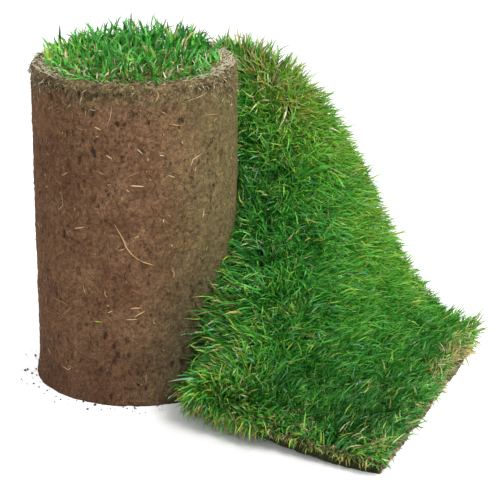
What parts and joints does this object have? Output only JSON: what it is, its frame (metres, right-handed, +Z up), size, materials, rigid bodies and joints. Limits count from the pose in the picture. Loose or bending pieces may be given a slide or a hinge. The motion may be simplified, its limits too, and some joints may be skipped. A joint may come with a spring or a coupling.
{
  "type": "roll of turf",
  "caption": "Roll of turf standing on its end with the soil outward, its loose outer length fallen open to the floor and showing the grass.",
  "frame": {"origin": "centre of the roll's base, on the floor plane", "axes": "+Z up along the roll's axis, +X towards the loose tail, so the picture looks along +Y"},
  "size_m": [0.5659, 0.4591, 0.418],
  "materials": {
    "soil": "matte",
    "grass": "matte"
  },
  "bodies": {
    "root": {"sod": "soil", "grass": "grass"}
  },
  "joints": []
}
